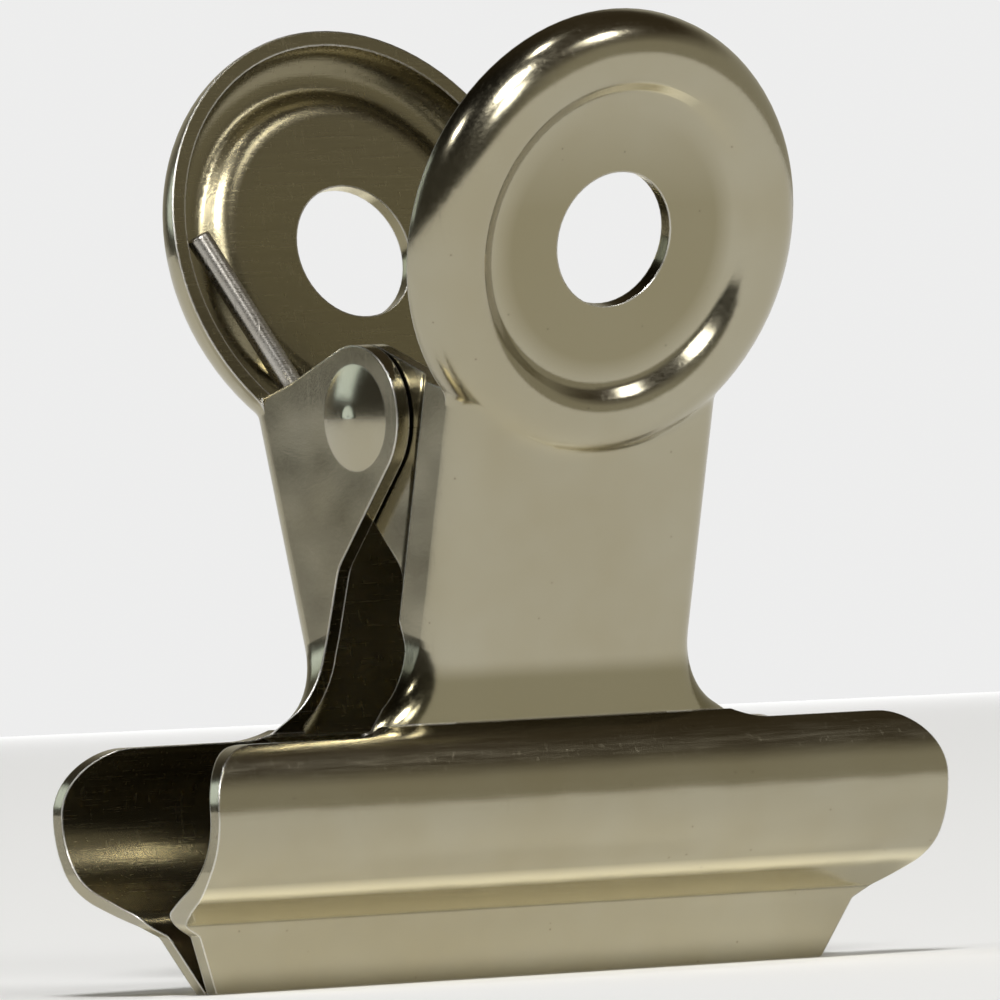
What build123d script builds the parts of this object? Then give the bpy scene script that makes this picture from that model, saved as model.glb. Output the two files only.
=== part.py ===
from build123d import *
import os
from math import cos, pi, radians, sin

# A bulldog clip: two pressed sheet-steel levers, hinged on a pin and pushed apart by a torsion spring.
# Millimetres. X runs along the jaws, -Y is the front, +Z is up, and the closed lips stand on the origin.

# The sheet that both levers are pressed from
sheet = 0.55

# Jaw: a half tube with a flat lip below it
jaw_width = 32.0
jaw_radius = 3.4
jaw_axis_offset = 1.8
jaw_rim_height = 8.85
jaw_axis_drop = 2.45
jaw_shoulder_angle = 50.0
jaw_floor_angle = 24.0
jaw_end_radius = 2.3
jaw_foot_height = 3.0
jaw_foot_radius = 2.4
shoulder_run = 0.3
fold_radius = 0.08

# Lip: its ends slant in towards the paper edge
lip_gap = 0.1
lip_lean = 17.0
lip_width = 26.6
lip_top_width = 28.7
lip_end_height = 2.1
lip_bend_radius = 0.35

# Handle: a channel-section neck that leans out and carries a dished finger disc
handle_lean = 15.0
neck_width = 11.5
neck_bend_radius = 1.1
flare_radius = 3.2
disc_centre = 17.5
disc_radius = 8.15
hole_radius = 2.45
dish_radius = 5.3
ring_rise = 0.65
ring_slope_width = 0.75
ring_foot_radius = 0.6
ring_crown_radius = 1.0
rim_bend_radius = 1.6
rim_depth = 1.15
ring_blend_radius = 0.8

# Side flanges of the neck, as depths below its outer face at heights above the fold
flange_foot = (0.3, 1.25)
flange_end_depth = 0.6
flange_knee = (2.3, 1.9)
flange_depth = 3.0
ear_knee = (4.85, 3.65)
knee_radius = 1.5
ear_shoulder = 11.95
ear_radius = 2.6
ear_clearance = 0.1
joggle_start = 2.5
joggle_length = 0.95
joggle_radius = 0.6

# Hinge: a pin held in a pressed cup in each outer ear, with the inner ears turning on it
pivot_height = 20.2
pin_radius = 0.8
pin_clearance = 0.04
cup_radius = 1.9
cup_rise = 0.3
cup_depth = 0.45

# Torsion spring: a coil round the pin, one leg up the inside of each handle
wire_diameter = 0.9
coil_radius = 1.5
coil_length = 4.4
coil_turns = 3
leg_bend_radius = 1.3
leg_splay = 26.0
leg_length = 9.8
seat_clearance = 0.05

lean = radians(handle_lean)
shoulder = radians(jaw_shoulder_angle)
floor_slope = radians(jaw_floor_angle)
neck_half = neck_width / 2
reach = 40.0

# Where the neck folds out of the jaw's shoulder, on the front lever's outer face
jaw_axis_height = jaw_rim_height - jaw_axis_drop
fold_y = -(jaw_axis_offset + jaw_radius * cos(shoulder) - shoulder_run * sin(shoulder))
fold_z = jaw_axis_height + jaw_radius * sin(shoulder) + shoulder_run * cos(shoulder)

# Directions of the front handle: up along it, inwards through it and out of its face
along = Vector(0, -sin(lean), cos(lean))
inward = Vector(0, cos(lean), sin(lean))
outward = -inward
fold = Vector(0, fold_y, fold_z)
face_plane = Plane(origin=fold, x_dir=(1, 0, 0), z_dir=outward)
side_plane = Plane(origin=fold, x_dir=along, z_dir=(-1, 0, 0))
disc_origin = fold + along * disc_centre
disc_plane = Plane(origin=disc_origin, x_dir=(1, 0, 0), z_dir=outward)
disc_section_plane = Plane(origin=disc_origin, x_dir=(1, 0, 0), z_dir=-along)
disc_axis = Axis(disc_origin, outward)
pivot = Vector(0, 0, pivot_height)
pivot_up = (pivot - fold).dot(along)
pivot_depth = (pivot - fold).dot(inward)
inner_ear_face = neck_half - sheet - ear_clearance


def crossing(start, direction, other, other_direction):
    # Where two straight runs of a section meet.
    gap = other - start
    turn = direction.X * other_direction.Y - direction.Y * other_direction.X
    return start + direction * ((gap.X * other_direction.Y - gap.Y * other_direction.X) / turn)


def folded_sheet(plane, corners, radii):
    # The section of a sheet whose outer face runs through the corners, with its metal on their right.
    points = [Vector(corner) for corner in corners]
    runs = [(end - start).normalized() for start, end in zip(points, points[1:])]
    normals = [Vector(run.Y, -run.X) for run in runs]
    inner = [points[0] + normals[0] * sheet]
    inner_radii = []
    for number, radius in enumerate(radii):
        before, after = normals[number], normals[number + 1]
        inner.append(points[number + 1] + (before + after) * (sheet / (1 + before.dot(after))))
        turns_left = runs[number].cross(runs[number + 1]).Z > 0
        inner_radii.append(radius + sheet if turns_left else radius - sheet)
    inner.append(points[-1] + normals[-1] * sheet)
    with BuildSketch(plane) as section:
        with BuildLine():
            FilletPolyline(*points, radius=radii)
            FilletPolyline(*inner, radius=inner_radii)
            Line(points[0], inner[0])
            Line(points[-1], inner[-1])
        make_face()
    return section.sketch


def jaw_sheet():
    # The folded sheet from the lip up to the foot of the neck, cut to the outline of the jaw's ends.
    axis = Vector(-jaw_axis_offset, jaw_axis_height)
    lip_angle = radians(lip_lean)
    lip_run = Vector(-sin(lip_angle), cos(lip_angle))
    lip_foot = Vector(-(lip_gap / 2 + sheet / cos(lip_angle)), 0)
    lip_end = lip_foot - lip_run * sheet
    floor_run = Vector(-cos(floor_slope), sin(floor_slope))
    floor_point = axis + Vector(-sin(floor_slope), -cos(floor_slope)) * jaw_radius
    fold_point = Vector(fold_y, fold_z)
    shoulder_run_back = Vector(sin(shoulder), cos(shoulder))
    neck_run = Vector(-sin(lean), cos(lean))
    step = crossing(lip_foot, lip_run, floor_point, floor_run)
    bulge = crossing(floor_point, floor_run, fold_point, shoulder_run_back)
    neck_end = fold_point + neck_run * neck_bend_radius
    flare_end = neck_half + flare_radius
    flare_at_fold = flare_end - (flare_radius**2 - (flare_radius - fold_z + jaw_rim_height) ** 2) ** 0.5
    section_corners = [lip_end, step, bulge, fold_point, neck_end]
    section_radii = [lip_bend_radius, jaw_radius, fold_radius]
    with BuildPart() as jaw:
        extrude(folded_sheet(Plane.YZ, section_corners, section_radii), amount=jaw_width / 2, both=True)
        with BuildSketch(Plane.XZ):
            with BuildLine():
                FilletPolyline(
                    (0, 0),
                    (lip_width / 2, 0),
                    (lip_top_width / 2, lip_end_height),
                    (jaw_width / 2, jaw_foot_height),
                    (jaw_width / 2, jaw_rim_height),
                    (flare_end, jaw_rim_height),
                    radius=[sheet / 4, sheet / 2, jaw_foot_radius, jaw_end_radius],
                )
                TangentArc((flare_end, jaw_rim_height), (flare_at_fold, fold_z), tangent=(-1, 0))
                Polyline((flare_at_fold, fold_z), (0, fold_z), (0, 0))
            make_face()
            mirror(about=Plane.YZ)
            with Locations((0, fold_z)):
                Rectangle(neck_width - 2 * neck_bend_radius, 4 * neck_bend_radius)
        extrude(amount=reach, both=True, mode=Mode.INTERSECT)
    return jaw.part


def neck_block(inset):
    # A block with the neck's outline, flaring into the jaw's shoulder, and its long front edges rounded.
    # The inset moves every face inwards by the same amount, so two blocks leave the channel's wall.
    half = neck_half - inset
    wing = neck_half + flare_radius + neck_bend_radius
    jaw_rim = (jaw_rim_height - fold_z) / cos(lean)
    bottom = jaw_rim - 2 * neck_bend_radius
    rim = jaw_rim - inset
    with BuildPart() as block:
        with BuildSketch(face_plane.offset(-inset)) as outline:
            with Locations((0, (disc_centre + bottom) / 2)):
                Rectangle(2 * half, disc_centre - bottom)
            with Locations((0, (bottom + rim) / 2)):
                Rectangle(2 * wing, rim - bottom)
            inner_corners = outline.vertices().group_by(Axis.Y)[1].sort_by(Axis.X)[1:-1]
            fillet(inner_corners, flare_radius + inset)
        extrude(amount=-reach / 4)
        front = block.faces().sort_by(Axis(fold, outward))[-1]
        lower = (fold + along * (jaw_rim - neck_bend_radius)).Z
        rounded = front.edges().filter_by(lambda edge: edge.center().Z > lower)
        rounded = rounded.filter_by(lambda edge: half - sheet / 2 < abs(edge.center().X) < wing - sheet / 2)
        fillet(rounded, neck_bend_radius - inset)
    return block.part


def finger_disc():
    # The dished disc, turned about its own axis, with its rim left open where the neck runs into it.
    corners = [
        (hole_radius, 0),
        (dish_radius, 0),
        (dish_radius + ring_slope_width, ring_rise),
        (disc_radius, ring_rise),
        (disc_radius, -rim_depth),
    ]
    radii = [ring_foot_radius, ring_crown_radius, rim_bend_radius]
    with BuildPart() as disc:
        revolve(folded_sheet(disc_section_plane, corners, radii), axis=disc_axis)
        with BuildSketch(disc_plane.offset(-sheet)):
            with Locations((0, -dish_radius)):
                Rectangle(neck_width - 2 * sheet, 2 * disc_radius, align=(Align.CENTER, Align.MAX))
        extrude(amount=-2 * rim_depth, mode=Mode.SUBTRACT)
    return disc.part


def on_ring_foot(edge):
    # The crease where the raised ring comes down to the neck's outer face.
    from_axis = edge.center() - disc_origin
    on_face = abs(from_axis.dot(outward)) < sheet / 10
    return on_face and edge.length > neck_half and dish_radius < -from_axis.dot(along) < disc_radius


def straight_wall():
    # The outer ears carry straight on from the neck's side flanges.
    with BuildSketch(Plane(origin=fold, x_dir=(1, 0, 0), z_dir=along)) as wall:
        with Locations((neck_half, joggle_start)):
            Rectangle(sheet, pivot_depth + ear_radius, align=(Align.MAX, Align.MIN))
    return wall.sketch


def joggled_wall():
    # The inner ears step inwards by the sheet and a clearance, so that they pass inside the outer ears.
    joggle_end = joggle_start + joggle_length
    corners = [
        (inner_ear_face, pivot_depth + 2 * ear_radius),
        (inner_ear_face, joggle_end),
        (neck_half, joggle_start),
        (neck_half, joggle_start - sheet),
    ]
    plane = Plane(origin=fold, x_dir=(1, 0, 0), z_dir=along)
    return folded_sheet(plane, corners, [joggle_radius, joggle_radius + sheet])


def side_view():
    # The flanges and an ear seen from the side: heights above the fold against depths below the outer face.
    below = -4 * neck_bend_radius
    with BuildSketch(side_plane) as ear:
        with BuildLine():
            CenterArc((pivot_up, pivot_depth), ear_radius, 0, 360)
            Line((ear_shoulder, flange_depth), ear_knee)
        make_hull()
    with BuildSketch(side_plane) as view:
        with BuildLine():
            Polyline(
                (below, -sheet),
                (ear_shoulder, -sheet),
                (ear_shoulder, flange_depth),
                ear_knee,
                flange_knee,
                flange_foot,
                (-flange_foot[0], flange_end_depth),
                (below, flange_end_depth),
                close=True,
            )
        make_face()
        add(ear.sketch_local)
        knees = view.vertices().filter_by(lambda corner: 0 < corner.X < ear_shoulder and corner.Y < pivot_depth)
        fillet(knees.filter_by(lambda corner: corner.Y > flange_foot[1]), knee_radius)
    return view.sketch


def pressed_lever(wall):
    # One lever, in the place of the front one.
    with BuildPart() as neck:
        add(neck_block(0))
        add(neck_block(sheet), mode=Mode.SUBTRACT)
        with BuildSketch(face_plane.offset(-joggle_start)):
            Rectangle(reach, 2 * reach)
        extrude(amount=-reach, mode=Mode.SUBTRACT)
        extrude(wall, amount=disc_centre)
        mirror(about=Plane.YZ)
        extrude(side_view(), amount=reach, both=True, mode=Mode.INTERSECT)
        with BuildSketch(disc_plane.offset(rim_depth)):
            Circle(disc_radius - sheet)
        extrude(amount=-2 * rim_depth, mode=Mode.SUBTRACT)
        with BuildSketch(Plane.YZ):
            with Locations((-jaw_axis_offset, jaw_axis_height)):
                Circle(jaw_radius - sheet)
        extrude(amount=reach, both=True, mode=Mode.SUBTRACT)
    with BuildPart() as lever:
        add(jaw_sheet())
        add(neck.part)
        add(finger_disc())
        fillet(lever.edges().filter_by(on_ring_foot), ring_blend_radius)
    return lever.part


def on_coil(wound):
    # A point of the coil's centre line, by the angle wound from the rear leg to it.
    angle = radians(270 - handle_lean - wound)
    across = coil_length * (wound / wound_angle - 0.5)
    return pivot + Vector(across, coil_radius * cos(angle), coil_radius * sin(angle))


def along_coil(wound):
    # The direction of the wire at that point.
    angle = radians(270 - handle_lean - wound)
    pitch = coil_length / radians(wound_angle)
    return Vector(pitch, coil_radius * sin(angle), -coil_radius * cos(angle)).normalized()


def quarter_turn(start, leaving, end, arriving):
    # Two arcs that meet in one tangent and carry the wire from one point and direction to the next.
    span = end - start
    both = leaving + arriving
    turned = 1 - leaving.dot(arriving)
    forward = span.dot(both)
    handle = ((forward**2 + 2 * turned * span.dot(span)) ** 0.5 - forward) / (2 * turned)
    first = start + leaving * handle
    last = end - arriving * handle
    middle = (first + last) * 0.5
    TangentArc(start, middle, tangent=leaving)
    TangentArc(middle, end, tangent=(last - first).normalized())


# The wire is wound from the rear leg to the front one, and each leg lies splayed along its handle's inner face.
wound_angle = 360 * coil_turns - 2 * handle_lean
quarter_turns = 4 * coil_turns
splay = radians(leg_splay)
leg_depth = sheet + wire_diameter / 2 + seat_clearance
leg_run = pivot_depth - leg_depth - leg_bend_radius
front_leg = along * cos(splay) + Vector(sin(splay), 0, 0)
front_bend = on_coil(wound_angle) + outward * leg_run
front_rise = front_bend + (outward + front_leg) * leg_bend_radius
to_rear = Vector(0, -outward.Y, outward.Z)
rear_leg = Vector(-front_leg.X, -front_leg.Y, front_leg.Z)
rear_bend = on_coil(0) + to_rear * leg_run
rear_rise = rear_bend + (to_rear + rear_leg) * leg_bend_radius
stops = [wound_angle * number / quarter_turns for number in range(quarter_turns + 1)]
ways = [-to_rear] + [along_coil(stop) for stop in stops[1:-1]] + [outward]
pin_half = neck_half - sheet + cup_depth

with BuildPart() as front_lever:
    add(pressed_lever(joggled_wall()))
    with BuildSketch(Plane.YZ):
        with Locations((0, pivot_height)):
            Circle(pin_radius + pin_clearance)
    extrude(amount=neck_half, both=True, mode=Mode.SUBTRACT)

with BuildPart() as rear_lever:
    add(pressed_lever(straight_wall()), rotation=(0, 0, 180))
    with BuildSketch(Plane.XY.offset(pivot_height)):
        with BuildLine():
            Line((neck_half - cup_rise, 0), (neck_half - cup_rise, cup_radius))
            Line((neck_half - cup_rise, cup_radius), (neck_half, cup_radius))
            TangentArc((neck_half + cup_rise, 0), (neck_half, cup_radius), tangent=(0, 1))
            Line((neck_half + cup_rise, 0), (neck_half - cup_rise, 0))
        make_face()
    revolve(axis=Axis(pivot, (1, 0, 0)))
    mirror(about=Plane.YZ)
    with BuildSketch(Plane.YZ):
        with Locations((0, pivot_height)):
            Circle(pin_radius)
    extrude(amount=pin_half, both=True, mode=Mode.SUBTRACT)

with BuildPart() as hinge_pin:
    with BuildSketch(Plane.YZ):
        with Locations((0, pivot_height)):
            Circle(pin_radius)
    extrude(amount=pin_half, both=True)

with BuildPart() as torsion_spring:
    with BuildLine() as wire_path:
        Line(rear_rise + rear_leg * leg_length, rear_rise)
        TangentArc(rear_rise, rear_bend, tangent=-rear_leg)
        Line(rear_bend, on_coil(0))
        for number in range(quarter_turns):
            start, end = stops[number], stops[number + 1]
            quarter_turn(on_coil(start), ways[number], on_coil(end), ways[number + 1])
        Line(on_coil(wound_angle), front_bend)
        TangentArc(front_bend, front_rise, tangent=outward)
        Line(front_rise, front_rise + front_leg * leg_length)
    with BuildSketch(Plane(origin=wire_path.line @ 0, z_dir=wire_path.line % 0)):
        Circle(wire_diameter / 2)
    sweep()

# The coil's turns stand clear of each other: the least gap is measured between stations over half a turn apart.
station_count = 600
wire = wire_path.wire()
stations = [wire.position_at(number / station_count) for number in range(station_count + 1)]
half_turn = int(station_count * pi * coil_radius / wire.length)
spacings = [
    (later - earlier).length
    for number, earlier in enumerate(stations)
    for later in stations[number + half_turn :]
]
print("spring: least gap to itself", round(min(spacings) - wire_diameter, 2), "mm")
wire_section = pi * wire_diameter**2 / 4
volume_ratio = torsion_spring.part.volume / (wire_section * wire.length)
print("spring: volume over section times length", round(volume_ratio, 4))

os.makedirs("parts", exist_ok=True)
front_lever.part.label = "front_lever"
export_step(front_lever.part, "parts/front_lever.step")
rear_lever.part.label = "rear_lever"
export_step(rear_lever.part, "parts/rear_lever.step")
hinge_pin.part.label = "hinge_pin"
export_step(hinge_pin.part, "parts/hinge_pin.step")
torsion_spring.part.label = "torsion_spring"
export_step(torsion_spring.part, "parts/torsion_spring.step")
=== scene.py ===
from math import cos, radians, sin

import bmesh
import bpy
from mathutils import Matrix, Vector


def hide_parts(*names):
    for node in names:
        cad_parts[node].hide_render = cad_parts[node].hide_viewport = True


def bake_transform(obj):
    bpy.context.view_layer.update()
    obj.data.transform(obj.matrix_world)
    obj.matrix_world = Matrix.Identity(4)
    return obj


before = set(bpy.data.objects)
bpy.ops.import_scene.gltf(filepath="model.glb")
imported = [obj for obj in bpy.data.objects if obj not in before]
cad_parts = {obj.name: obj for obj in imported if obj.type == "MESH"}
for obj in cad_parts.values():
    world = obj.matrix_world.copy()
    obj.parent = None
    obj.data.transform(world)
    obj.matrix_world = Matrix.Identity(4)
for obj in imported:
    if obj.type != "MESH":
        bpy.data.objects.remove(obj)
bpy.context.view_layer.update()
print("frame loaded:", ", ".join(sorted(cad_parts)))

scene = bpy.context.scene
mm = 0.001


def addNode(tree, kind, x, y, **settings):
    node = tree.nodes.new(kind)
    node.location = (x, y)
    for key, value in settings.items():
        setattr(node, key, value)
    return node


def addRange(tree, x, y, value, span, result=(0.0, 1.0), **settings):
    # maps span onto result, held at both ends
    node = addNode(tree, "ShaderNodeMapRange", x, y, **settings)
    for label, number in zip(("From Min", "From Max", "To Min", "To Max"), span + result):
        node.inputs[label].default_value = number
    tree.links.new(value, node.inputs["Value"])
    return node.outputs["Result"]


def addMath(tree, operation, x, y, *terms):
    # each term is a socket or a plain number
    node = addNode(tree, "ShaderNodeMath", x, y, operation=operation)
    for slot, term in zip(node.inputs, terms):
        if isinstance(term, (int, float)):
            slot.default_value = term
        else:
            tree.links.new(term, slot)
    return node.outputs["Value"]


def addNoise(tree, x, y, vector, values):
    node = addNode(tree, "ShaderNodeTexNoise", x, y)
    for label, number in values.items():
        node.inputs[label].default_value = number
    tree.links.new(vector, node.inputs["Vector"])
    return node


def addTint(tree, x, y, under, tone, amount):
    # lays a tone over the colour so far, as far as the mask goes
    node = addNode(tree, "ShaderNodeMix", x, y, data_type="RGBA")
    node.inputs["B"].default_value = tone + (1,)
    tree.links.new(under, node.inputs["A"])
    tree.links.new(amount, node.inputs["Factor"])
    return node.outputs["Result"]


def newGroup(name, inputs, outputs):
    tree = bpy.data.node_groups.new(name, "ShaderNodeTree")
    for label, kind, value in inputs:
        socket = tree.interface.new_socket(label, in_out="INPUT", socket_type=kind)
        if value is not None:
            socket.default_value = value
    for label, kind in outputs:
        tree.interface.new_socket(label, in_out="OUTPUT", socket_type=kind)
    return tree


# rolled-sheet finish, in millimetres
grainShape = {
    "cloud": {"Detail": 3.0, "Roughness": 0.55},
    "cloudSpan": (0.32, 0.68),
    "lineStretch": (0.05, 1.0, 1.0),
    "lines": {"Detail": 5.0, "Roughness": 0.7},
    "lineSpan": (0.3, 0.7),
    "scratchTurn": (0.35, 0.8, 0.25),
    "scratchStretch": (5.0, 5.0, 0.16),
    "scratches": {"Scale": 1.5, "Detail": 0.0},
    "scratchSpan": (0.70, 0.78),
    "pitSpan": (0.02, 0.06),
    "waves": {"Scale": 0.28, "Detail": 1.0},
}


def sheetGrain(shape):
    # broad cloudiness, fine rolling lines, short scratches, pits and a slow wave
    tree = newGroup(
        "sheetGrain",
        [
            ("Position", "NodeSocketVector", None),
            ("Cloud size", "NodeSocketFloat", 0.16),
            ("Line density", "NodeSocketFloat", 14.0),
            ("Pit density", "NodeSocketFloat", 2.4),
        ],
        [
            ("Cloud", "NodeSocketFloat"),
            ("Lines", "NodeSocketFloat"),
            ("Scratches", "NodeSocketFloat"),
            ("Pits", "NodeSocketFloat"),
            ("Waviness", "NodeSocketFloat"),
        ],
    )
    link = tree.links.new
    entry = addNode(tree, "NodeGroupInput", -900, 0)
    leave = addNode(tree, "NodeGroupOutput", 700, 0)
    position = entry.outputs["Position"]

    cloud = addNoise(tree, -500, 300, position, shape["cloud"])
    link(entry.outputs["Cloud size"], cloud.inputs["Scale"])
    cloudy = addRange(tree, -250, 300, cloud.outputs["Fac"], shape["cloudSpan"])
    link(cloudy, leave.inputs["Cloud"])

    stretch = addNode(tree, "ShaderNodeMapping", -700, 50)
    stretch.inputs["Scale"].default_value = shape["lineStretch"]
    link(position, stretch.inputs["Vector"])
    lines = addNoise(tree, -500, 50, stretch.outputs["Vector"], shape["lines"])
    link(entry.outputs["Line density"], lines.inputs["Scale"])
    link(lines.outputs["Fac"], leave.inputs["Lines"])

    slant = addNode(tree, "ShaderNodeMapping", -700, -200)
    slant.inputs["Rotation"].default_value = shape["scratchTurn"]
    slant.inputs["Scale"].default_value = shape["scratchStretch"]
    link(position, slant.inputs["Vector"])
    strokes = addNoise(tree, -500, -200, slant.outputs["Vector"], shape["scratches"])
    scratched = addRange(tree, -250, -200, strokes.outputs["Fac"], shape["scratchSpan"])
    link(scratched, leave.inputs["Scratches"])

    dots = addNode(tree, "ShaderNodeTexVoronoi", -500, -600)
    link(position, dots.inputs["Vector"])
    link(entry.outputs["Pit density"], dots.inputs["Scale"])
    pitted = addRange(tree, -250, -600, dots.outputs["Distance"], shape["pitSpan"], (1.0, 0.0))
    link(pitted, leave.inputs["Pits"])

    wave = addNoise(tree, -500, -800, position, shape["waves"])
    link(wave.outputs["Fac"], leave.inputs["Waviness"])
    return tree


wearShape = {"samples": 4, "span": (0.995, 0.86)}


def edgeWear(shape):
    # how far the rounded normal leaves the true one: bright worn edges
    tree = newGroup(
        "edgeWear",
        [("Radius", "NodeSocketFloat", 0.00008)],
        [("Edge", "NodeSocketFloat"), ("Normal", "NodeSocketVector")],
    )
    link = tree.links.new
    entry = addNode(tree, "NodeGroupInput", -600, 0)
    leave = addNode(tree, "NodeGroupOutput", 500, 0)
    rounded = addNode(tree, "ShaderNodeBevel", -400, 100, samples=shape["samples"])
    link(entry.outputs["Radius"], rounded.inputs["Radius"])
    surface = addNode(tree, "ShaderNodeNewGeometry", -400, -120)
    facing = addNode(tree, "ShaderNodeVectorMath", -150, 0, operation="DOT_PRODUCT")
    link(rounded.outputs["Normal"], facing.inputs[0])
    link(surface.outputs["Normal"], facing.inputs[1])
    worn = addRange(tree, 100, 0, facing.outputs["Value"], shape["span"])
    link(worn, leave.inputs["Edge"])
    link(rounded.outputs["Normal"], leave.inputs["Normal"])
    return tree


# millimetres; the painted shade in the dish and along the fold is measured from the disc's middle, along
# its own lean
leverShape = {
    "discHeight": 26.094,
    "discOut": 8.284,
    "lean": radians(15),
    "insideDullingAndShadeSpan": (-0.3, -1.2),
    "paintedUndersideLightSpan": (-0.74, -0.86),
    "dishShadeSpan": (5.2, 4.4),
    "dishShadeDrop": (4.7, 1.2),
    "dishShadeLeast": 0.1,
    "foldShadeRise": (-17.8, -17.4),
    "foldShadeFade": (-15.2, -16.08),
}


def leverDullingAndPaintedLight(shape):
    # masks for the lever colour: duller inner faces whose darker tone is partly painted shade between
    # the levers, painted shade in the dish and along the fold, painted light on faces that point down
    tree = newGroup(
        "leverDullingAndPaintedLight",
        [("Position", "NodeSocketVector", None), ("Facing", "NodeSocketVector", None)],
        [
            ("Inside", "NodeSocketFloat"),
            ("PaintedDishShade", "NodeSocketFloat"),
            ("PaintedFoldShade", "NodeSocketFloat"),
            ("PaintedUndersideLight", "NodeSocketFloat"),
        ],
    )
    link = tree.links.new
    entry = addNode(tree, "NodeGroupInput", -900, 0)
    leave = addNode(tree, "NodeGroupOutput", 900, 0)
    spot = addNode(tree, "ShaderNodeSeparateXYZ", -700, 100)
    link(entry.outputs["Position"], spot.inputs["Vector"])
    facing = addNode(tree, "ShaderNodeSeparateXYZ", -700, -200)
    link(entry.outputs["Facing"], facing.inputs["Vector"])

    # inner faces, those turned towards the other lever: duller plating, and painted shade in their
    # darker tone
    outward = addMath(tree, "MULTIPLY", -450, -200, spot.outputs["Y"], facing.outputs["Y"])
    link(addRange(tree, -200, -200, outward, shape["insideDullingAndShadeSpan"]), leave.inputs["Inside"])
    # painted light: faces that point down are marked for a near-white tone
    paintedUndersideLight = addRange(tree, -200, -450, facing.outputs["Z"], shape["paintedUndersideLightSpan"])
    link(paintedUndersideLight, leave.inputs["PaintedUndersideLight"])

    # both levers at once: the rear one is folded onto the front one
    flat = addNode(tree, "ShaderNodeCombineXYZ", -300, 150)
    link(spot.outputs["X"], flat.inputs["X"])
    link(addMath(tree, "ABSOLUTE", -500, 150, spot.outputs["Y"]), flat.inputs["Y"])
    link(spot.outputs["Z"], flat.inputs["Z"])
    upright = addNode(tree, "ShaderNodeMapping", -100, 150, vector_type="TEXTURE")
    upright.inputs["Location"].default_value = (0, shape["discOut"], shape["discHeight"])
    upright.inputs["Rotation"].default_value = (-shape["lean"], 0, 0)
    link(flat.outputs["Vector"], upright.inputs["Vector"])
    onDisc = addNode(tree, "ShaderNodeSeparateXYZ", 100, 150)
    link(upright.outputs["Vector"], onDisc.inputs["Vector"])
    rise = onDisc.outputs["Z"]

    # painted shade in the dish: a round mask about the disc's middle, stronger towards the dish's lower
    # side
    across = addNode(tree, "ShaderNodeCombineXYZ", 250, 250)
    link(onDisc.outputs["X"], across.inputs["X"])
    link(rise, across.inputs["Y"])
    reach = addNode(tree, "ShaderNodeVectorMath", 400, 250, operation="LENGTH")
    link(across.outputs["Vector"], reach.inputs[0])
    dishShadeMask = addRange(tree, 550, 250, reach.outputs["Value"], shape["dishShadeSpan"])
    lowerDishShadeMask = addRange(tree, 550, 50, rise, shape["dishShadeDrop"], (shape["dishShadeLeast"], 1.0))
    link(addMath(tree, "MULTIPLY", 720, 150, dishShadeMask, lowerDishShadeMask), leave.inputs["PaintedDishShade"])

    # painted shade along the fold: a band between two heights, faded in and out
    rising = addRange(tree, 300, -150, rise, shape["foldShadeRise"], interpolation_type="SMOOTHSTEP")
    fading = addRange(tree, 300, -400, rise, shape["foldShadeFade"], interpolation_type="SMOOTHSTEP")
    link(addMath(tree, "MULTIPLY", 600, -250, rising, fading), leave.inputs["PaintedFoldShade"])
    return tree


grainGroup = sheetGrain(grainShape)
wearGroup = edgeWear(wearShape)
dullingAndPaintedLightGroup = leverDullingAndPaintedLight(leverShape)


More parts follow.
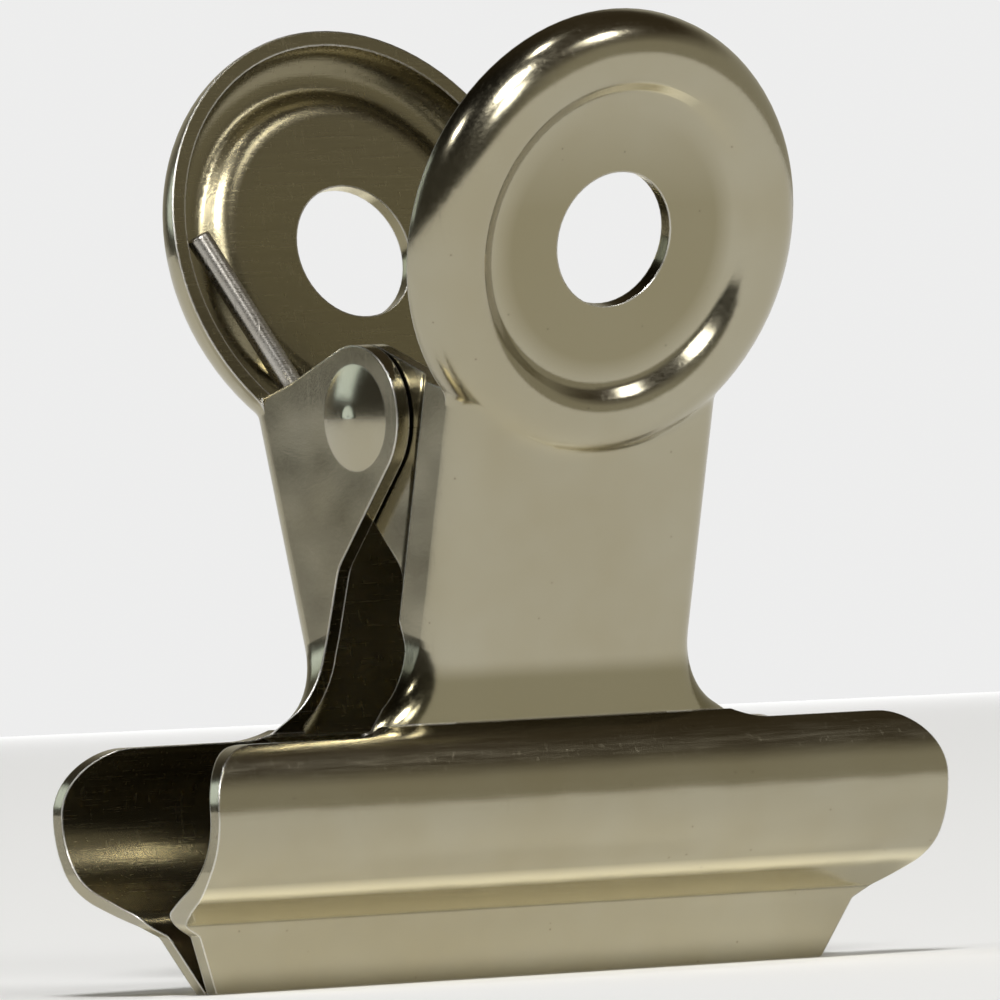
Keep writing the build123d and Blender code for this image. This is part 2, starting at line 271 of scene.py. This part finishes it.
def metalFinish(name, look):
    material = bpy.data.materials.new(name)
    material.use_nodes = True
    tree = material.node_tree
    tree.nodes.clear()
    link = tree.links.new
    output = addNode(tree, "ShaderNodeOutputMaterial", 900, 0)
    metal = addNode(tree, "ShaderNodeBsdfPrincipled", 600, 0)
    metal.inputs["Metallic"].default_value = 1.0
    link(metal.outputs["BSDF"], output.inputs["Surface"])

    place = addNode(tree, "ShaderNodeTexCoord", -1100, 0)
    inMm = addNode(tree, "ShaderNodeMapping", -900, 0)
    inMm.inputs["Scale"].default_value = (1 / mm, 1 / mm, 1 / mm)
    link(place.outputs["Object"], inMm.inputs["Vector"])
    grain = addNode(tree, "ShaderNodeGroup", -650, 0, node_tree=grainGroup)
    grain.inputs["Cloud size"].default_value = look["cloudSize"]
    grain.inputs["Line density"].default_value = look["lineDensity"]
    grain.inputs["Pit density"].default_value = look["pitDensity"]
    link(inMm.outputs["Vector"], grain.inputs["Position"])
    lines, scratches = grain.outputs["Lines"], grain.outputs["Scratches"]
    wear = addNode(tree, "ShaderNodeGroup", -650, -350, node_tree=wearGroup)
    wear.inputs["Radius"].default_value = look["edgeRadius"]
    edge = wear.outputs["Edge"]

    # colour: cloudy plating, then the lever masks (duller inner faces, painted shade and painted light),
    # pits, then bright edges
    tint = addNode(tree, "ShaderNodeMix", -300, 300, data_type="RGBA")
    tint.inputs["A"].default_value = look["warmTone"] + (1,)
    tint.inputs["B"].default_value = look["coolTone"] + (1,)
    link(grain.outputs["Cloud"], tint.inputs["Factor"])
    plating, dullness = tint.outputs["Result"], None
    if "dullingAndPaintedLight" in look:
        dullingAndPaintedLight = addNode(tree, "ShaderNodeGroup", -650, 400, node_tree=dullingAndPaintedLightGroup)
        link(inMm.outputs["Vector"], dullingAndPaintedLight.inputs["Position"])
        link(place.outputs["Normal"], dullingAndPaintedLight.inputs["Facing"])
        dullness = dullingAndPaintedLight.outputs["Inside"]
        # each lever mask lays its tone over the plating: painted shade, painted light, and the duller
        # inner tone
        for mark, (tone, strength) in look["dullingAndPaintedLight"].items():
            amount = addMath(tree, "MULTIPLY", -400, 500, dullingAndPaintedLight.outputs[mark], strength)
            plating = addTint(tree, -200, 500, plating, tone, amount)
    pits = addMath(tree, "MULTIPLY", -300, 120, grain.outputs["Pits"], look["pitStrength"])
    plating = addTint(tree, -50, 300, plating, look["pitTone"], pits)
    plating = addTint(tree, 200, 300, plating, look["edgeTone"], edge)
    link(plating, metal.inputs["Base Color"])

    roughSpan = (look["roughLow"], look["roughHigh"])
    rough = addRange(tree, -300, -60, lines, grainShape["lineSpan"], roughSpan)
    rough = addMath(tree, "MULTIPLY_ADD", -50, -60, scratches, look["scratchRough"], rough)
    rough = addMath(tree, "MULTIPLY_ADD", 50, -160, edge, look["edgeRough"], rough)
    if dullness is not None:
        rough = addMath(tree, "MULTIPLY_ADD", 150, -60, dullness, look["insideRough"], rough)
    link(rough, metal.inputs["Roughness"])

    # relief: rolling lines, deeper on inner faces, over a slow wave, less the scratches
    lineHeight = look["lineHeight"]
    if dullness is not None:
        lineHeight = addMath(tree, "MULTIPLY_ADD", -500, -300, dullness, look["insideLines"], lineHeight)
    waves = addMath(tree, "MULTIPLY", -500, -480, grain.outputs["Waviness"], look["waveHeight"])
    height = addMath(tree, "MULTIPLY_ADD", -300, -300, lines, lineHeight, waves)
    height = addMath(tree, "MULTIPLY_ADD", -100, -300, scratches, -look["scratchDepth"], height)
    bump = addNode(tree, "ShaderNodeBump", 300, -300)
    bump.inputs["Strength"].default_value = 1.0
    bump.inputs["Distance"].default_value = mm
    link(height, bump.inputs["Height"])
    link(wear.outputs["Normal"], bump.inputs["Normal"])
    link(bump.outputs["Normal"], metal.inputs["Normal"])
    return material


nickelLook = {
    "warmTone": (0.395, 0.356, 0.247),
    "coolTone": (0.430, 0.398, 0.297),
    "pitTone": (0.14, 0.11, 0.07),
    "edgeTone": (0.93, 0.91, 0.86),
    "cloudSize": 0.16,
    "lineDensity": 9.0,
    "pitDensity": 1.1,
    "pitStrength": 0.55,
    "edgeRadius": 0.11 * mm,
    "roughLow": 0.13,
    "roughHigh": 0.21,
    "scratchRough": 0.04,
    "lineHeight": 0.0012,
    "waveHeight": 0.045,
    "scratchDepth": 0.0005,
    "edgeRough": 0.12,
    "insideRough": 0.08,
    "insideLines": 0.006,
    "dullingAndPaintedLight": {  # tone and strength
        # inner faces: duller plating, and painted shade in this darker tone
        "Inside": ((0.20, 0.172, 0.098), 0.8),
        # painted shade in the dish, darker towards its lower side
        "PaintedDishShade": ((0.26, 0.228, 0.132), 0.75),
        # painted shade along the fold
        "PaintedFoldShade": ((0.21, 0.186, 0.105), 0.8),
        # painted light: a near-white tone on faces that point down
        "PaintedUndersideLight": ((0.92, 0.84, 0.58), 0.95),
    },
}
wireLook = {
    "warmTone": (0.44, 0.41, 0.36),
    "coolTone": (0.53, 0.51, 0.47),
    "pitTone": (0.12, 0.09, 0.06),
    "edgeTone": (0.72, 0.70, 0.66),
    "cloudSize": 0.5,
    "lineDensity": 16.0,
    "pitDensity": 2.2,
    "pitStrength": 0.6,
    "edgeRadius": 0.05 * mm,
    "roughLow": 0.22,
    "roughHigh": 0.34,
    "scratchRough": 0.12,
    "lineHeight": 0.003,
    "waveHeight": 0.0,
    "scratchDepth": 0.003,
    "edgeRough": 0.1,
}
pinLook = dict(wireLook, lineDensity=22.0, roughLow=0.26, roughHigh=0.38)

nickel = metalFinish("nickelPlate", nickelLook)
springSteel = metalFinish("drawnSpringWire", wireLook)
pinSteel = metalFinish("turnedPinSteel", pinLook)
print("finishes made")


# the levers and the pin keep their solids
def dress(node, material):
    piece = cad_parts[node]
    piece.data.materials.clear()
    piece.data.materials.append(material)


dress("front_lever", nickel)
dress("rear_lever", nickel)
dress("hinge_pin", pinSteel)
print("levers and pin dressed")


# lengths in metres, angles in degrees
spring = {
    "wireRadius": 0.45 * mm,
    "sides": 20,
    "coilRadius": 1.5 * mm,
    "coilHalf": 2.2 * mm,
    "coilStart": 255.0,
    "turned": 1050.0,
    "ease": 60.0,  # at each end of the coil the pitch is halved over this angle
    "stepAngle": 7.5,
    "pivotHeight": 20.2 * mm,
    "lean": 15.0,
    "splay": 26.0,
    "legRun": 4.127 * mm,
    "bendRadius": 1.3 * mm,
    "bendAngle": 90.0,
    "bendSteps": 12,
    "legLength": 9.8 * mm,
    "tipBevel": 0.1 * mm,
    "tipSegments": 3,
    "mergeWithin": 0.002 * mm,
}


def ringOf(geometry):
    return [part for part in geometry if isinstance(part, bmesh.types.BMEdge)]


def pushRing(bm, ring, offset):
    grown = bmesh.ops.extrude_edge_only(bm, edges=ring)["geom"]
    points = [part for part in grown if isinstance(part, bmesh.types.BMVert)]
    bmesh.ops.translate(bm, verts=points, vec=offset)
    inTip = set(points)
    return [edge for edge in ringOf(grown) if all(point in inTip for point in edge.verts)]


def turnRing(bm, ring, centre, axis, angle, steps, advance=(0, 0, 0)):
    spun = bmesh.ops.spin(
        bm, geom=ring, cent=centre, axis=axis, angle=angle, steps=steps,
        dvec=Vector(advance) / steps, use_merge=False, use_duplicate=False,
    )
    return ringOf(spun["geom_last"])


def windSpring(size):
    # from the rear leg's tip, round the pin, to the front leg's tip
    lean, splay = radians(size["lean"]), radians(size["splay"])
    pivot = Vector((0, 0, size["pivotHeight"]))
    outward = Vector((0, -cos(lean), -sin(lean)))
    upHandle = Vector((0, -sin(lean), cos(lean)))
    frontLeg = upHandle * cos(splay) + Vector((sin(splay), 0, 0))
    toRear = Vector((0, -outward.y, outward.z))
    rearLeg = Vector((-frontLeg.x, -frontLeg.y, frontLeg.z))
    low = radians(size["coilStart"])
    radius, half = size["coilRadius"], size["coilHalf"]
    coilStart = pivot + Vector((-half, radius * cos(low), radius * sin(low)))
    rearBend = coilStart + toRear * size["legRun"]
    rearRise = rearBend + (toRear + rearLeg) * size["bendRadius"]
    rearTip = rearRise + rearLeg * size["legLength"]
    bendAngle, bendSteps = radians(size["bendAngle"]), size["bendSteps"]

    bm = bmesh.new()
    facing = (-rearLeg).to_track_quat("Z", "X").to_matrix().to_4x4()
    bmesh.ops.create_circle(
        bm, cap_ends=True, segments=size["sides"], radius=size["wireRadius"],
        matrix=Matrix.Translation(rearTip) @ facing,
    )
    ring = list(bm.edges)
    ring = pushRing(bm, ring, -rearLeg * size["legLength"])
    rearCentre = rearBend + rearLeg * size["bendRadius"]
    ring = turnRing(bm, ring, rearCentre, rearLeg.cross(toRear), bendAngle, bendSteps)
    ring = pushRing(bm, ring, -toRear * size["legRun"])

    ease = size["ease"]
    middle = size["turned"] - 2 * ease
    pitch = 2 * half / (middle + ease)
    for angle, advance in ((ease, pitch / 2), (middle, pitch), (ease, pitch / 2)):
        steps = int(angle / size["stepAngle"])
        ring = turnRing(bm, ring, pivot, (1, 0, 0), radians(-angle), steps, (advance * angle, 0, 0))

    ring = pushRing(bm, ring, outward * size["legRun"])
    coilEnd = pivot + Vector((half, -coilStart.y, coilStart.z - pivot.z))
    frontCentre = coilEnd + outward * size["legRun"] + frontLeg * size["bendRadius"]
    ring = turnRing(bm, ring, frontCentre, outward.cross(frontLeg), bendAngle, bendSteps)
    ring = pushRing(bm, ring, frontLeg * size["legLength"])
    bmesh.ops.contextual_create(bm, geom=ring)
    bmesh.ops.remove_doubles(bm, verts=bm.verts, dist=size["mergeWithin"])
    tips = [face for face in bm.faces if len(face.verts) > 4]
    tipEdges = [edge for face in tips for edge in face.edges]
    bmesh.ops.bevel(
        bm, geom=tipEdges, offset=size["tipBevel"], affect="EDGES",
        segments=size["tipSegments"], profile=0.5, material=-1,
    )
    bmesh.ops.recalc_face_normals(bm, faces=bm.faces)
    mesh = bpy.data.meshes.new("springWire")
    bm.to_mesh(mesh)
    bm.free()
    mesh.shade_smooth()
    wire = bpy.data.objects.new("springWire", mesh)
    scene.collection.objects.link(wire)
    return wire


springWire = windSpring(spring)
springWire.data.materials.append(springSteel)
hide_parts("torsion_spring")
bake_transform(springWire)
print("spring wound:", len(springWire.data.polygons), "faces")


studio = {
    "floorSize": 3.0,
    "floorSides": 64,
    "floorTone": (0.92, 0.92, 0.915),
    "floorRough": 0.9,
    "floorGloss": 0.1,
    "backdropTone": (0.85, 0.85, 0.848),
    "backdropSize": 0.06,
    "backdropLift": 0.2,  # share of its size
    "backdropDistance": 0.8,
    "lowTone": (0.40, 0.38, 0.31),
    "highTone": (0.055, 0.043, 0.026),
    "toneHeights": (0.36, 0.60),
    "sideSpan": (-0.35, 0.3),
    "sideRange": (0.13, 1.0),  # the left of the room is darker
    "lampDistance": 2.0,
}
highSun = {"turn": 35, "rise": 48, "power": 2.3, "spread": 14}
softboxes = {
    "topSoftbox": {"turn": 30, "rise": 82, "size": (0.17, 0.17), "power": 3.2},
    "frontSoftbox": {"turn": 21, "rise": 29, "size": (0.43, 0.43), "power": 5.6},
    "rightSoftbox": {"turn": -30, "rise": 47, "size": (0.40, 0.30), "power": 4.6},
    "leftSoftbox": {"turn": 102, "rise": 40, "size": (0.17, 0.17), "power": 3.0},
    "windowSoftbox": {
        "turn": 152, "rise": 17, "size": (0.74, 0.68), "power": 2.0, "tone": (0.80, 0.94, 1.0),
    },
}


def direction(turn, rise):
    # turn runs in degrees from -Y towards -X, rise from the floor up
    turn, rise = radians(turn), radians(rise)
    return Vector((-sin(turn) * cos(rise), -cos(turn) * cos(rise), sin(rise)))


def stagePiece(name, bm, material):
    mesh = bpy.data.meshes.new(name)
    bm.to_mesh(mesh)
    bm.free()
    mesh.materials.append(material)
    piece = bpy.data.objects.new(name, mesh)
    scene.collection.objects.link(piece)


def layFloor():
    bm = bmesh.new()
    bmesh.ops.create_circle(bm, cap_ends=True, segments=studio["floorSides"], radius=studio["floorSize"])
    paper = bpy.data.materials.new("paleFloor")
    paper.use_nodes = True
    shader = paper.node_tree.nodes["Principled BSDF"]
    shader.inputs["Roughness"].default_value = studio["floorRough"]
    shader.inputs["Specular IOR Level"].default_value = studio["floorGloss"]
    shader.inputs["Base Color"].default_value = studio["floorTone"] + (1,)
    stagePiece("floor", bm, paper)


def standBackdrop(back):
    # a small pale card far behind, just wide enough for the picture
    card = bpy.data.materials.new("backdropPaper")
    card.use_nodes = True
    tree = card.node_tree
    tree.nodes.clear()
    output = addNode(tree, "ShaderNodeOutputMaterial", 300, 0)
    glow = addNode(tree, "ShaderNodeEmission", 0, 0)
    glow.inputs["Color"].default_value = studio["backdropTone"] + (1,)
    tree.links.new(glow.outputs["Emission"], output.inputs["Surface"])
    bm = bmesh.new()
    size = studio["backdropSize"]
    bmesh.ops.create_grid(bm, x_segments=1, y_segments=1, size=size)
    facing = back.to_track_quat("Z", "Y").to_matrix().to_4x4()
    middle = -back * studio["backdropDistance"] + Vector((0, 0, size * studio["backdropLift"]))
    bmesh.ops.transform(bm, matrix=Matrix.Translation(middle) @ facing, verts=bm.verts)
    stagePiece("backdrop", bm, card)


def lightRoom():
    world = bpy.data.worlds.new("room")
    scene.world = world
    world.use_nodes = True
    tree = world.node_tree
    tree.nodes.clear()
    link = tree.links.new
    output = addNode(tree, "ShaderNodeOutputWorld", 800, 0)
    sky = addNode(tree, "ShaderNodeBackground", 600, 0)
    link(sky.outputs["Background"], output.inputs["Surface"])
    place = addNode(tree, "ShaderNodeTexCoord", -600, 0)
    split = addNode(tree, "ShaderNodeSeparateXYZ", -400, 0)
    link(place.outputs["Generated"], split.inputs["Vector"])
    height = addNode(tree, "ShaderNodeValToRGB", -100, 100)
    tones = (studio["lowTone"], studio["highTone"])
    for stop, position, tone in zip(height.color_ramp.elements, studio["toneHeights"], tones):
        stop.position = position
        stop.color = tone + (1,)
    link(split.outputs["Z"], height.inputs["Fac"])
    side = addRange(tree, -100, -150, split.outputs["X"], studio["sideSpan"], studio["sideRange"])
    dim = addNode(tree, "ShaderNodeVectorMath", 250, 0, operation="SCALE")
    link(height.outputs["Color"], dim.inputs["Vector"])
    link(side, dim.inputs["Scale"])
    link(dim.outputs["Vector"], sky.inputs["Color"])


def addSun(name, turn, rise, power, spread):
    lamp = bpy.data.lights.new(name, "SUN")
    lamp.energy = power
    lamp.angle = radians(spread)
    sun = bpy.data.objects.new(name, lamp)
    sun.rotation_euler = direction(turn, rise).to_track_quat("Z", "Y").to_euler()
    scene.collection.objects.link(sun)


def addSoftbox(name, turn, rise, size, power, tone=(1, 1, 1)):
    lamp = bpy.data.lights.new(name, "AREA")
    lamp.shape = "RECTANGLE"
    lamp.size, lamp.size_y = size
    lamp.energy = power
    lamp.color = tone
    box = bpy.data.objects.new(name, lamp)
    away = direction(turn, rise)
    box.location = away * studio["lampDistance"]
    box.rotation_euler = away.to_track_quat("Z", "Y").to_euler()
    scene.collection.objects.link(box)


camera = {
    "azimuth": 35.459,
    "elevation": 0.077,
    "roll": 2.611,
    "distance": 744.6 * mm,
    "target": (0, 0, 17.1 * mm),
    "pixelsPerMm": 27.931,
    "targetPixel": (490.06, 498.74),
    "imageSize": 1000,
    "sensor": 36.0,
    "nearest": 0.01,
    "farthest": 20,
}


def placeCamera(view):
    turn, rise, roll = radians(view["azimuth"]), radians(view["elevation"]), radians(view["roll"])
    back = direction(view["azimuth"], view["elevation"])
    right = Vector((cos(turn), -sin(turn), 0))
    up = Vector((sin(turn) * sin(rise), cos(turn) * sin(rise), cos(rise)))
    rolledRight = right * cos(roll) - up * sin(roll)
    rolledUp = right * sin(roll) + up * cos(roll)
    lens = bpy.data.cameras.new("camera")
    lens.sensor_width = view["sensor"]
    focal = view["pixelsPerMm"] / mm * view["distance"]
    lens.lens = view["sensor"] * focal / view["imageSize"]
    half = view["imageSize"] / 2
    lens.shift_x = (half - view["targetPixel"][0]) / view["imageSize"]
    lens.shift_y = (view["targetPixel"][1] - half) / view["imageSize"]
    lens.clip_start = view["nearest"]
    lens.clip_end = view["farthest"]
    eye = bpy.data.objects.new("camera", lens)
    place = Matrix((rolledRight, rolledUp, back)).transposed().to_4x4()
    place.translation = Vector(view["target"]) + back * view["distance"]
    eye.matrix_world = place
    scene.collection.objects.link(eye)
    scene.camera = eye


layFloor()
lightRoom()
standBackdrop(direction(camera["azimuth"], camera["elevation"]))
addSun("highSun", **highSun)
for name, settings in softboxes.items():
    addSoftbox(name, **settings)
placeCamera(camera)
scene.view_settings.view_transform = "Standard"
print("studio ready")
